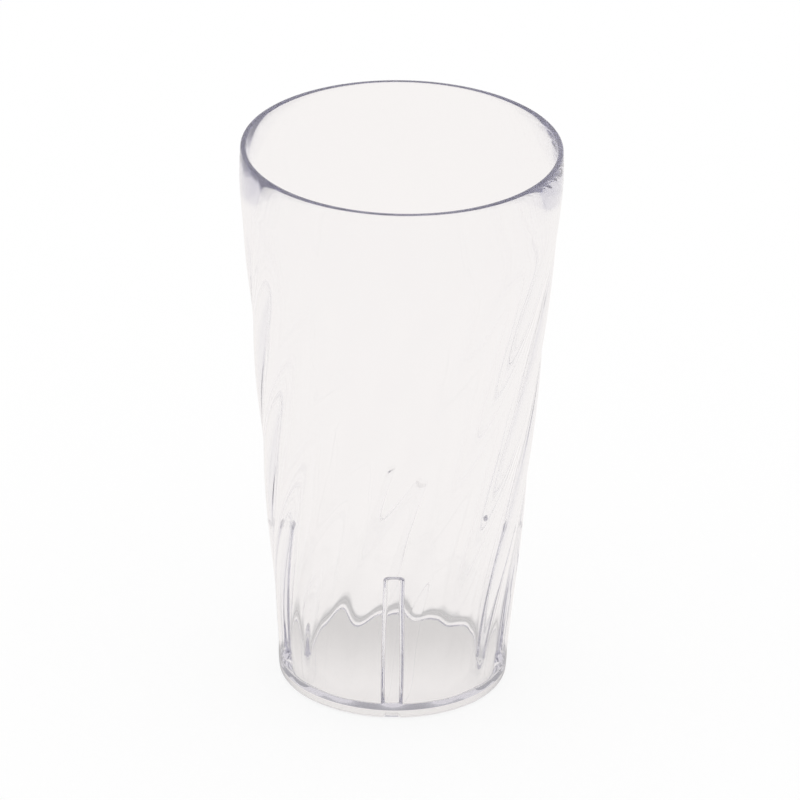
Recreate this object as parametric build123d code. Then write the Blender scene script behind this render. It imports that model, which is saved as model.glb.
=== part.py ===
import os
from math import cos, pi, radians, sin, sqrt

from build123d import *

# A clear moulded tumbler: a tapered cup with spiral flutes in the outside of its wall, a plain band
# under a rounded rim, stacking lugs inside the base and a foot ring under a raised floor.
# Millimetres and degrees. The origin is the centre of the foot and +Z points to the mouth.

# Cup
height = 156.0
rim_diameter = 87.2
base_diameter = 61.4
wall = 2.1
rim_facets = 6

# Floor and foot
floor_thickness = 2.0
floor_corner_chamfer = 0.8
foot_height = 2.0
foot_ring_width = 2.4
foot_edge_radius = 1.5
foot_edge_facets = 2
foot_inner_chamfer = 0.4
recess_draft = 0.5

# Flutes: each has a flat on its ridge, its groove and both flanks, and all turn as they climb
flute_count = 14
flute_depth = 0.7
flute_bottom = 6.0
flute_bottom_run = 15.0
flute_top = 140.0
flute_top_run = 24.0
flute_phase = 0.0
swirl_rate = 0.70
swirl_start = 28.0
swirl_ease = 16.0
strips_per_flute = 4
section_spacing = 9.0

# Stacking lugs
lug_count = 4
lug_first_angle = -90.0
lug_width = 5.3
lug_top = 44.5
lug_reach_top = 2.0
lug_reach_floor = 1.2
lug_top_radius = 1.2
lug_edge_chamfer = 0.9

# Drain notches across the foot ring, one under each lug
notch_width = 4.0
notch_depth = 0.6

rim_radius = rim_diameter / 2
base_radius = base_diameter / 2
floor_top = foot_height + floor_thickness
recess_radius = base_radius - foot_ring_width


def outer_radius(z):
    """Radius of the plain cone that the flutes are cut into."""
    return base_radius + (rim_radius - base_radius) * z / height


def inner_radius(z):
    """Radius of the smooth inside of the wall."""
    return outer_radius(z) - wall


def ease(share):
    """Smooth step from 0 to 1."""
    share = min(max(share, 0.0), 1.0)
    return share**2 * (3 - 2 * share)


def swirl(z):
    """Turn of the flutes at a height: nearly none at the foot, then a steady rate."""
    above = z - swirl_start
    at_foot = sqrt(swirl_start**2 + swirl_ease**2) - swirl_start
    return flute_phase + swirl_rate * (sqrt(above**2 + swirl_ease**2) + above - at_foot) / 2


def depth_at(z):
    """Depth of the flutes, which fade out above the foot and below the plain band."""
    return flute_depth * ease((z - flute_bottom) / flute_bottom_run) * ease((flute_top - z) / flute_top_run)


def skin_section(z):
    """Outline of the wall's outside at a height: a flat on each ridge, each groove and each flank."""
    count = flute_count * strips_per_flute
    points = []
    for i in range(count):
        wave = 2 * pi * (i + 0.5) / strips_per_flute
        radius = outer_radius(z) - depth_at(z) * (1 + cos(wave)) / 2
        angle = radians(swirl(z)) + 2 * pi * (i + 0.5) / count
        points.append(Vector(radius * cos(angle), radius * sin(angle), z))
    return Wire.make_polygon(points, close=True)


def arc_points(centre, radius, first, last, facets):
    """Points along an arc in the section, as (radius, height), angles in degrees."""
    angles = [radians(first + (last - first) * i / facets) for i in range(facets + 1)]
    return [(centre[0] + radius * cos(angle), centre[1] + radius * sin(angle)) for angle in angles]


def make_plain_cup():
    """The cup without flutes: one section with a full-round rim, revolved."""
    rim_centre_z = height - wall / 2
    rim_centre = (outer_radius(rim_centre_z) - wall / 2, rim_centre_z)
    foot_centre = (outer_radius(foot_edge_radius) - foot_edge_radius, foot_edge_radius)
    floor_radius = inner_radius(floor_top)
    section = [
        (0, floor_top),
        (floor_radius - floor_corner_chamfer, floor_top),
        (inner_radius(floor_top + floor_corner_chamfer), floor_top + floor_corner_chamfer),
        *arc_points(rim_centre, wall / 2, 180, 0, rim_facets),
        *arc_points(foot_centre, foot_edge_radius, 0, -90, foot_edge_facets),
        (recess_radius + foot_inner_chamfer, 0),
        (recess_radius, foot_inner_chamfer),
        (recess_radius - recess_draft, foot_height),
        (0, foot_height),
    ]
    with BuildSketch(Plane.XZ) as sketch:
        with BuildLine():
            Polyline(*section, close=True)
        make_face()
    return revolve(sketch.sketch, Axis.Z)


def make_fluted_sleeve():
    """The fluted length of the wall, lofted between its turning sections and bored to the inside cone."""
    length = flute_top - flute_bottom
    steps = round(length / section_spacing)
    blank = Solid.make_loft([skin_section(flute_bottom + length * i / steps) for i in range(steps + 1)], True)
    bore = Solid.make_cone(
        inner_radius(flute_bottom),
        inner_radius(flute_top),
        length,
        plane=Plane.XY.offset(flute_bottom),
    )
    return blank - bore


def make_lug():
    """One upright stacking lug on the +X side, its outer side sunk halfway into the wall."""
    sunk = wall / 2
    low = floor_top - floor_thickness / 2
    with BuildSketch(Plane.XZ) as side:
        with BuildLine():
            Polyline(
                (inner_radius(low) - lug_reach_floor, low),
                (inner_radius(lug_top) - lug_reach_top, lug_top),
                (inner_radius(lug_top) + sunk, lug_top),
                (inner_radius(low) + sunk, low),
                close=True,
            )
        make_face()
    lug = extrude(side.sketch, lug_width / 2, both=True)
    lug = fillet(lug.edges().filter_by(Axis.X).group_by(Axis.Z)[-1], lug_top_radius)
    return chamfer(lug.faces().sort_by(Axis.X)[0].edges(), lug_edge_chamfer)


def make_tumbler():
    """The cup with its fluted sleeve let in between foot and band, then the lugs and the notches."""
    sleeve_length = flute_top - flute_bottom
    gap = Pos(0, 0, flute_bottom + sleeve_length / 2) * Box(2 * height, 2 * height, sleeve_length)
    foot_and_band = (make_plain_cup() - gap).solids()
    join_tolerance = 0.0005
    cup = foot_and_band[0].fuse(make_fluted_sleeve().solid(), foot_and_band[1], tol=join_tolerance)
    notch = Pos(base_radius, 0, 0) * Box(4 * foot_ring_width, notch_width, 2 * notch_depth)
    turns = [Rot(0, 0, lug_first_angle + 360 * i / lug_count) for i in range(lug_count)]
    lug = make_lug()
    cup = cup.solid() + [turn * lug for turn in turns]
    return (cup - [turn * notch for turn in turns]).solid()


os.makedirs("parts", exist_ok=True)
tumbler = make_tumbler()
tumbler.label = "tumbler"
export_step(tumbler, "parts/tumbler.step")
print("tumbler", "valid" if tumbler.is_valid else "not valid", round(tumbler.volume), "cubic mm")
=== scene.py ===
from math import cos, pi, radians, sin, sqrt

import bmesh
import bpy
from mathutils import Matrix, Vector


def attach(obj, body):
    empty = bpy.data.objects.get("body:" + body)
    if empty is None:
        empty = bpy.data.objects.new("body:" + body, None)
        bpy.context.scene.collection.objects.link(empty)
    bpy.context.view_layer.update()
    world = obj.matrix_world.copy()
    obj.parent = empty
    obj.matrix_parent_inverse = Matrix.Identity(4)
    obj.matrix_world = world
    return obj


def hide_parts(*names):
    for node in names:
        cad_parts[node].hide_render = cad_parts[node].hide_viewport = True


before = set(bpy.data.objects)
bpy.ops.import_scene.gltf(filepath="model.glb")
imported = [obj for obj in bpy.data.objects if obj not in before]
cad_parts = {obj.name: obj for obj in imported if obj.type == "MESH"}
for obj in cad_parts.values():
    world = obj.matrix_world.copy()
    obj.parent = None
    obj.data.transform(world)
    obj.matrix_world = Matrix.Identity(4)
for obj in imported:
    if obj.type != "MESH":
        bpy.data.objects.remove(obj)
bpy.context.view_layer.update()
scene = bpy.context.scene

millimetre = 0.001
samePlace = 1e-6        # points closer than this are one
cutDistance = 1e-7

# The moulding, in metres and degrees
cup = {
    "height": 0.156,
    "rimRadius": 0.0440,      # where the straight side would meet the height of the rim
    "rimInside": 0.0413,
    "baseRadius": 0.0307,
    "wall": 0.0021,           # at the foot; it thickens slightly towards the rim
    "lipHeight": 0.0075,      # the drinking lip is rounded off on both sides over this height
    "lipBlend": 0.75,         # share of that height to which the bend below the lip reaches
    "lipOutside": 0.0011,     # how far the lip leans in at the top, from outside
    "lipInside": 0.0002,      # and how far it leans out, from inside
    "lipInsideSteps": 14,
    "lipOutsideSteps": 18,
    "rimEdge": 0.0005,
    "rimEdgeSteps": 8,
    "guard": 0.0005,          # a row this far from a rounding keeps the long faces beside it flat
    "floorTop": 0.004,
    "floorCorner": 0.0005,
    "floorCornerSteps": 5,
    "footHeight": 0.002,
    "footRing": 0.0024,
    "footEdge": 0.0015,
    "footEdgeSteps": 6,
    "footInner": 0.0005,
    "footInnerSteps": 3,
    "recessDraft": 0.0005,
    "columns": 448,           # steps round the axis: 32 to a flute
    "wallRows": 112,          # rows up the fluted side
    "insideRows": 12,
    "sharpAngle": 50,         # edges that bend more than this stay crisp
}

flutes = {
    "count": 14,
    "depth": 0.00065,
    "bottom": 0.003,
    "bottomRun": 0.009,
    "top": 0.140,
    "topRun": 0.024,
    "rate": 0.70,             # degrees of turn to a millimetre of height
    "start": 0.028,           # the turn sets in round this height
    "easing": 0.016,
    "phase": 0.0,
    "ridgeSharpness": 1.4,    # 1 makes ridges as wide as hollows, more makes them narrower
}

lugs = {
    "count": 4,
    "firstAngle": -90.0,
    "width": 0.0061,
    "columns": 8,             # steps of the spin that are drawn to each side of a lug's middle
    "top": 0.0445,
    "reachTop": 0.0024,       # how far the face stands out of the wall
    "reachFloor": 0.0016,
    "cornerRadius": 0.0018,
    "flank": 0.0014,          # width of the soft slope between the wall and the lug's face
    "rows": 12,               # across the rounded head
    "guardRows": (0.0004, 0.0015, 0.004),   # and over it, so that it shades cleanly
}

notches = {
    "columns": 5,             # steps of the spin to each side of a notch's middle
    "depth": 0.0006,
}


def outerRadius(z):
    return cup["baseRadius"] + (cup["rimRadius"] - cup["baseRadius"]) * z / cup["height"]


def innerRadius(z):
    foot = cup["baseRadius"] - cup["wall"]
    return foot + (cup["rimInside"] - foot) * z / cup["height"]


def wallMiddle(z):
    return (innerRadius(z) + outerRadius(z)) / 2


def ease(share):
    share = min(max(share, 0.0), 1.0)
    return share**2 * (3 - 2 * share)


def swirl(z):
    # nearly no turn at the foot, then a steady rate
    start = flutes["start"] / millimetre
    easing = flutes["easing"] / millimetre
    above = z / millimetre - start
    atFoot = sqrt(start**2 + easing**2) - start
    climb = (sqrt(above**2 + easing**2) + above - atFoot) / 2
    return radians(flutes["phase"] + flutes["rate"] * climb)


def fluteDepth(z):
    # the flutes fade out above the foot and below the plain band
    lower = ease((z - flutes["bottom"]) / flutes["bottomRun"])
    upper = ease((flutes["top"] - z) / flutes["topRun"])
    return flutes["depth"] * lower * upper


def report(done):
    print("stage:", done, flush=True)


def nearest(bm, x, z):
    return min(bm.verts, key=lambda v: (v.co - Vector((x, 0, z))).length)


def roundCorner(bm, corner, radius, segments):
    bmesh.ops.bevel(bm, geom=[nearest(bm, *corner)], offset=radius, offset_type="OFFSET",
                    segments=segments, profile=0.5, affect="VERTICES", material=-1)


def drawSection(bm):
    # half section: the floor's middle, up the inside, over the rim, down to the recess
    recess = cup["baseRadius"] - cup["footRing"]
    floorCorner = (innerRadius(cup["floorTop"]), cup["floorTop"])
    floorGuard = (floorCorner[0] - cup["floorCorner"] - cup["guard"], cup["floorTop"])
    wallGuardZ = cup["floorTop"] + cup["floorCorner"] + cup["guard"]
    wallGuard = (innerRadius(wallGuardZ), wallGuardZ)
    lipFoot = cup["height"] - cup["lipHeight"]
    lipReach = cup["lipHeight"] * cup["lipBlend"]
    lipGuardZ = lipFoot - lipReach - cup["guard"]
    lipGuard = (innerRadius(lipGuardZ), lipGuardZ)
    lipInside = (innerRadius(lipFoot), lipFoot)
    lipOutside = (outerRadius(lipFoot), lipFoot)
    rimInside = (cup["rimInside"] + cup["lipInside"], cup["height"])
    rimOutside = (cup["rimRadius"] - cup["lipOutside"], cup["height"])
    footOutside = (cup["baseRadius"], 0)
    footInside = (recess, 0)
    recessCorner = (recess - cup["recessDraft"], cup["footHeight"])
    floorMiddle = (0, cup["floorTop"])
    recessMiddle = (0, cup["footHeight"])
    outline = [floorMiddle, floorGuard, floorCorner, wallGuard, lipGuard, lipInside, rimInside,
               rimOutside, lipOutside, footOutside, footInside, recessCorner, recessMiddle]
    corners = [bm.verts.new((x, 0, z)) for x, z in outline]
    for first, second in zip(corners[:-1], corners[1:]):
        bm.edges.new((first, second))
    roundCorner(bm, lipInside, lipReach, cup["lipInsideSteps"])
    roundCorner(bm, lipOutside, lipReach, cup["lipOutsideSteps"])
    roundCorner(bm, rimInside, cup["rimEdge"], cup["rimEdgeSteps"])
    roundCorner(bm, rimOutside, cup["rimEdge"], cup["rimEdgeSteps"])
    roundCorner(bm, floorCorner, cup["floorCorner"], cup["floorCornerSteps"])
    roundCorner(bm, footOutside, cup["footEdge"], cup["footEdgeSteps"])
    roundCorner(bm, footInside, cup["footInner"], cup["footInnerSteps"])
    # the two long sides are cut into rows
    sides = [e for e in bm.edges if abs(e.verts[0].co.z - e.verts[1].co.z) > cup["height"] / 2]
    inside, outside = sorted(sides, key=lambda e: max(v.co.x for v in e.verts))
    bmesh.ops.subdivide_edges(bm, edges=[outside], cuts=cup["wallRows"])
    bmesh.ops.subdivide_edges(bm, edges=[inside], cuts=cup["insideRows"])


def spinCup(bm):
    drawSection(bm)
    bmesh.ops.spin(bm, geom=bm.verts[:] + bm.edges[:], cent=(0, 0, 0), axis=(0, 0, 1),
                   angle=2 * pi, steps=cup["columns"], use_merge=True)
    bmesh.ops.remove_doubles(bm, verts=bm.verts[:], dist=samePlace)
    bmesh.ops.recalc_face_normals(bm, faces=bm.faces[:])


def across(point, turn):
    # signed angle from a turn to a point, round the axis
    return -Vector((cos(turn), sin(turn))).angle_signed(point.xy, pi)


def columnsFrom(turn, point):
    # the same in steps of the spin
    return round(across(point, turn) * cup["columns"] / (2 * pi))


def pressFlutes(bm):
    # wide hollows with narrower ridges between them, turning as they climb
    for v in bm.verts:
        radius = v.co.xy.length
        z = v.co.z
        if flutes["bottom"] < z < flutes["top"] and radius > wallMiddle(z):
            wave = flutes["count"] * (across(v.co, 0) - swirl(z))
            ridge = ((1 - cos(wave)) / 2) ** flutes["ridgeSharpness"]
            v.co.xy *= 1 - fluteDepth(z) * (1 - ridge) / radius


def isInside(point):
    # on the inner wall, or on the rounding at its foot and the guard row beside that
    floorEdge = innerRadius(cup["floorTop"]) - cup["floorCorner"] - cup["guard"]
    if point.z < cup["floorTop"] - samePlace:
        return False
    return floorEdge - samePlace < point.xy.length < wallMiddle(point.z)


def addLugRows(bm):
    headFoot = lugs["top"] - lugs["cornerRadius"] - lugs["flank"]
    climbs = [sin(pi / 2 * i / lugs["rows"]) for i in range(lugs["rows"] + 1)]
    rows = [headFoot + (lugs["top"] - headFoot) * climb for climb in climbs]
    rows += [lugs["top"] + above for above in lugs["guardRows"]]
    for z in rows:
        wall = [f for f in bm.faces if isInside(f.calc_center_median())]
        edges = list(dict.fromkeys(e for f in wall for e in f.edges))
        bmesh.ops.bisect_plane(bm, geom=edges + wall, plane_co=(0, 0, z), plane_no=(0, 0, 1),
                               dist=cutDistance)


def fromOutline(sideways, z):
    # how far a point is inside the outline of a lug, which has rounded top corners
    radius = lugs["cornerRadius"]
    overSide = abs(sideways) - (lugs["width"] / 2 - radius)
    overTop = z - (lugs["top"] - radius)
    outside = sqrt(max(overSide, 0) ** 2 + max(overTop, 0) ** 2)
    return radius - outside - min(max(overSide, overTop), 0)


def raiseLug(bm, turn):
    # the inner wall is drawn inwards under the lug, with a soft flank all round the face
    out = Vector((cos(turn), sin(turn), 0))
    side = Vector((-sin(turn), cos(turn), 0))
    for v in bm.verts:
        column = columnsFrom(turn, v.co)
        if abs(column) > lugs["columns"] or v.co.z > lugs["top"] + samePlace or not isInside(v.co):
            continue
        sideways = lugs["width"] / 2 * sin(pi / 2 * column / lugs["columns"])
        climb = (v.co.z - cup["floorTop"]) / (lugs["top"] - cup["floorTop"])
        reach = lugs["reachFloor"] + (lugs["reachTop"] - lugs["reachFloor"]) * climb
        rise = ease(fromOutline(sideways, v.co.z) / lugs["flank"])
        wallDepth = sqrt(v.co.xy.length_squared - sideways**2)
        lugDepth = v.co.xy.length - reach * rise
        v.co = out * min(wallDepth, lugDepth) + side * sideways + Vector((0, 0, v.co.z))


def cutNotch(bm, turn):
    # a shallow drain across the foot ring
    ring = cup["baseRadius"] - cup["footRing"] - cup["recessDraft"]
    for v in bm.verts:
        isLow = v.co.z < notches["depth"] and v.co.xy.length > ring
        if isLow and abs(columnsFrom(turn, v.co)) <= notches["columns"]:
            v.co.z = notches["depth"]


def makeTumbler():
    bm = bmesh.new()
    spinCup(bm)
    report("section spun")
    pressFlutes(bm)
    report("flutes")
    addLugRows(bm)
    for i in range(lugs["count"]):
        turn = radians(lugs["firstAngle"] + 360 * i / lugs["count"])
        raiseLug(bm, turn)
        cutNotch(bm, turn)
    report("lugs and notches")
    for e in bm.edges:
        e.smooth = e.calc_face_angle(0) < radians(cup["sharpAngle"])
    mesh = bpy.data.meshes.new("tumblerMoulding")
    bm.to_mesh(mesh)
    bm.free()
    mesh.shade_smooth()
    piece = bpy.data.objects.new("tumblerMoulding", mesh)
    scene.collection.objects.link(piece)
    return piece


plastic = {
    "ior": 1.57,
    "tint": (0.79, 0.79, 0.845),
    "density": 25.0,          # to the metre
    "flowScale": 22.0,        # long faint ripples up the wall, from the flow in the mould
    "flowStretch": 0.25,
    "flowDetail": 1.0,
    "flowDistance": 0.00004,
    "flowStrength": 0.35,
    "scuffHeight": 0.0009,    # the foot is worn dull up to here
    "scuffRoughness": 0.35,
    "scuffScale": 900.0,
}


def makePlastic():
    material = bpy.data.materials.new("clearPlastic")
    material.use_nodes = True
    nodes = material.node_tree.nodes
    links = material.node_tree.links
    shader = nodes["Principled BSDF"]
    shader.inputs["Base Color"].default_value = (1, 1, 1, 1)
    shader.inputs["Transmission Weight"].default_value = 1
    shader.inputs["IOR"].default_value = plastic["ior"]
    place = nodes.new("ShaderNodeTexCoord")
    # mould ripples, longer up the wall than across it
    stretch = nodes.new("ShaderNodeMapping")
    stretch.inputs["Scale"].default_value = (1, 1, plastic["flowStretch"])
    links.new(place.outputs["Object"], stretch.inputs["Vector"])
    ripples = nodes.new("ShaderNodeTexNoise")
    ripples.inputs["Scale"].default_value = plastic["flowScale"]
    ripples.inputs["Detail"].default_value = plastic["flowDetail"]
    links.new(stretch.outputs["Vector"], ripples.inputs["Vector"])
    bump = nodes.new("ShaderNodeBump")
    bump.inputs["Strength"].default_value = plastic["flowStrength"]
    bump.inputs["Distance"].default_value = plastic["flowDistance"]
    links.new(ripples.outputs["Fac"], bump.inputs["Height"])
    links.new(bump.outputs["Normal"], shader.inputs["Normal"])
    # the foot is scuffed where it stands
    split = nodes.new("ShaderNodeSeparateXYZ")
    links.new(place.outputs["Object"], split.inputs["Vector"])
    foot = nodes.new("ShaderNodeMapRange")
    foot.inputs["From Min"].default_value = plastic["scuffHeight"]
    foot.inputs["From Max"].default_value = 0
    foot.inputs["To Max"].default_value = plastic["scuffRoughness"]
    links.new(split.outputs["Z"], foot.inputs["Value"])
    scuffs = nodes.new("ShaderNodeTexNoise")
    scuffs.inputs["Scale"].default_value = plastic["scuffScale"]
    links.new(place.outputs["Object"], scuffs.inputs["Vector"])
    worn = nodes.new("ShaderNodeMath")
    worn.operation = "MULTIPLY"
    links.new(foot.outputs["Result"], worn.inputs[0])
    links.new(scuffs.outputs["Fac"], worn.inputs[1])
    links.new(worn.outputs["Value"], shader.inputs["Roughness"])
    absorption = nodes.new("ShaderNodeVolumeAbsorption")
    absorption.inputs["Color"].default_value = (*plastic["tint"], 1)
    absorption.inputs["Density"].default_value = plastic["density"]
    links.new(absorption.outputs["Volume"], nodes["Material Output"].inputs["Volume"])
    return material


stage = {
    "floorSize": 6.0,
    "roughness": 0.9,
    "background": (1.0, 1.0, 1.0),
    "throughPlastic": (0.93, 0.90, 0.885),  # the studio as the tumbler's wall shows it
    "underCup": (0.64, 0.62, 0.61),         # the table in the tumbler's own shade
    "contactShade": (0.48, 0.47, 0.47),          # painted contact shade, darkest where the foot ring touches the table
    "contactShadeFrom": 0.027,     # distances from the tumbler's axis
    "contactShadeTo": 0.032,
    "clearFrom": 0.035,
    "clearTo": 0.040,
    "shadeFront": -0.016,     # the shade under the tumbler deepens from front to back
    "shadeBack": 0.024,
    "shadowKept": 0.15,       # share of the tumbler's shadow that the camera sees
    "bounces": 400,           # light runs a long way inside the rim and the wall
}


def shareBetween(nodes, links, value, low, high):
    share = nodes.new("ShaderNodeMapRange")
    share.interpolation_type = "SMOOTHSTEP"
    share.inputs["From Min"].default_value = low
    share.inputs["From Max"].default_value = high
    links.new(value, share.inputs["Value"])
    return share.outputs["Result"]


def mixColours(nodes, links, factor, first, second):
    mix = nodes.new("ShaderNodeMix")
    mix.data_type = "RGBA"
    links.new(factor, mix.inputs["Factor"])
    for socket, colour in (("A", first), ("B", second)):
        if isinstance(colour, tuple):
            mix.inputs[socket].default_value = (*colour, 1)
        else:
            links.new(colour, mix.inputs[socket])
    return mix.outputs["Result"]


def larger(nodes, links, first, second):
    pick = nodes.new("ShaderNodeMath")
    pick.operation = "MAXIMUM"
    links.new(first, pick.inputs[0])
    links.new(second, pick.inputs[1])
    return pick.outputs["Value"]


def insidePlastic(nodes, links, path):
    # rays that the tumbler has bent or reflected
    return larger(nodes, links, path.outputs["Is Glossy Ray"], path.outputs["Is Transmission Ray"])


def shadeUnderCup(nodes, links):
    # the table as the plastic shows it: shaded under the tumbler, darkest under the ring
    place = nodes.new("ShaderNodeTexCoord")
    distance = nodes.new("ShaderNodeVectorMath")
    distance.operation = "LENGTH"
    links.new(place.outputs["Object"], distance.inputs[0])
    split = nodes.new("ShaderNodeSeparateXYZ")
    links.new(place.outputs["Object"], split.inputs["Vector"])
    radius = distance.outputs["Value"]
    depth = shareBetween(nodes, links, split.outputs["Y"], stage["shadeFront"], stage["shadeBack"])
    under = mixColours(nodes, links, depth, stage["throughPlastic"], stage["underCup"])
    # painted contact shade: a darker ring on the table under the foot ring
    toContactShade = shareBetween(nodes, links, radius, stage["contactShadeFrom"], stage["contactShadeTo"])
    ringShaded = mixColours(nodes, links, toContactShade, under, stage["contactShade"])
    beyond = shareBetween(nodes, links, radius, stage["clearFrom"], stage["clearTo"])
    return mixColours(nodes, links, beyond, ringShaded, stage["throughPlastic"])


def makePaleFloor():
    material = bpy.data.materials.new("paleFloor")
    material.use_nodes = True
    nodes = material.node_tree.nodes
    links = material.node_tree.links
    shader = nodes["Principled BSDF"]
    shader.inputs["Base Color"].default_value = (*stage["background"], 1)
    shader.inputs["Roughness"].default_value = stage["roughness"]
    shader.inputs["Specular IOR Level"].default_value = 0
    # white for the camera, and the studio's colour in and through the plastic
    path = nodes.new("ShaderNodeLightPath")
    inPlastic = insidePlastic(nodes, links, path)
    glow = nodes.new("ShaderNodeEmission")
    colour = mixColours(nodes, links, inPlastic, stage["background"], shadeUnderCup(nodes, links))
    links.new(colour, glow.inputs["Color"])
    clear = larger(nodes, links, path.outputs["Is Camera Ray"], inPlastic)
    share = nodes.new("ShaderNodeMath")
    share.operation = "MULTIPLY"
    links.new(clear, share.inputs[0])
    share.inputs[1].default_value = 1 - stage["shadowKept"]
    mix = nodes.new("ShaderNodeMixShader")
    links.new(share.outputs["Value"], mix.inputs["Fac"])
    links.new(shader.outputs["BSDF"], mix.inputs[1])
    links.new(glow.outputs["Emission"], mix.inputs[2])
    links.new(mix.outputs["Shader"], nodes["Material Output"].inputs["Surface"])
    return material


def makeFloor():
    bm = bmesh.new()
    bmesh.ops.create_grid(bm, x_segments=1, y_segments=1, size=stage["floorSize"] / 2)
    mesh = bpy.data.meshes.new("floor")
    bm.to_mesh(mesh)
    bm.free()
    mesh.materials.append(makePaleFloor())
    floor = bpy.data.objects.new("floor", mesh)
    scene.collection.objects.link(floor)


def makeStudio():
    # soft white light from all round
    world = bpy.data.worlds.new("studio")
    scene.world = world
    world.use_nodes = True
    nodes = world.node_tree.nodes
    links = world.node_tree.links
    inPlastic = insidePlastic(nodes, links, nodes.new("ShaderNodeLightPath"))
    colour = mixColours(nodes, links, inPlastic, stage["background"], stage["throughPlastic"])
    links.new(colour, nodes["Background"].inputs["Color"])


view = {
    "unit": 0.0435,           # the mouth's radius, the unit of the next two
    "distance": 60.0,
    "lookHeight": 1.795,
    "elevation": 26.37,
    "roll": 1.055,
    "pixelsPerUnit": 161.76,
    "imageWidth": 800,
    "shiftPixels": (2.845, 9.5),
    "sensor": 36.0,
    "clipEnd": 100,
}


def makeCamera():
    data = bpy.data.cameras.new("camera")
    camera = bpy.data.objects.new("camera", data)
    scene.collection.objects.link(camera)
    tilt = radians(view["elevation"])
    roll = radians(view["roll"])
    back = Vector((0, -cos(tilt), sin(tilt)))
    right = Vector((1, 0, 0))
    up = back.cross(right)
    turnedRight = right * cos(roll) + up * sin(roll)
    turnedUp = up * cos(roll) - right * sin(roll)
    place = Matrix((turnedRight, turnedUp, back)).transposed().to_4x4()
    lookAt = Vector((0, 0, view["lookHeight"])) * view["unit"]
    place.translation = lookAt + back * view["distance"] * view["unit"]
    camera.matrix_world = place
    data.sensor_width = view["sensor"]
    data.lens = view["pixelsPerUnit"] * view["distance"] / view["imageWidth"] * view["sensor"]
    data.shift_x = view["shiftPixels"][0] / view["imageWidth"]
    data.shift_y = view["shiftPixels"][1] / view["imageWidth"]
    data.clip_end = view["clipEnd"]
    scene.camera = camera


tumbler = makeTumbler()
tumbler.data.materials.append(makePlastic())
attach(tumbler, "root")
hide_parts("tumbler")
report("tumbler")

makeFloor()
makeStudio()
makeCamera()
scene.view_settings.view_transform = "Standard"
scene.cycles.max_bounces = stage["bounces"]
scene.cycles.transmission_bounces = stage["bounces"]
scene.cycles.glossy_bounces = stage["bounces"]
report("stage and camera")
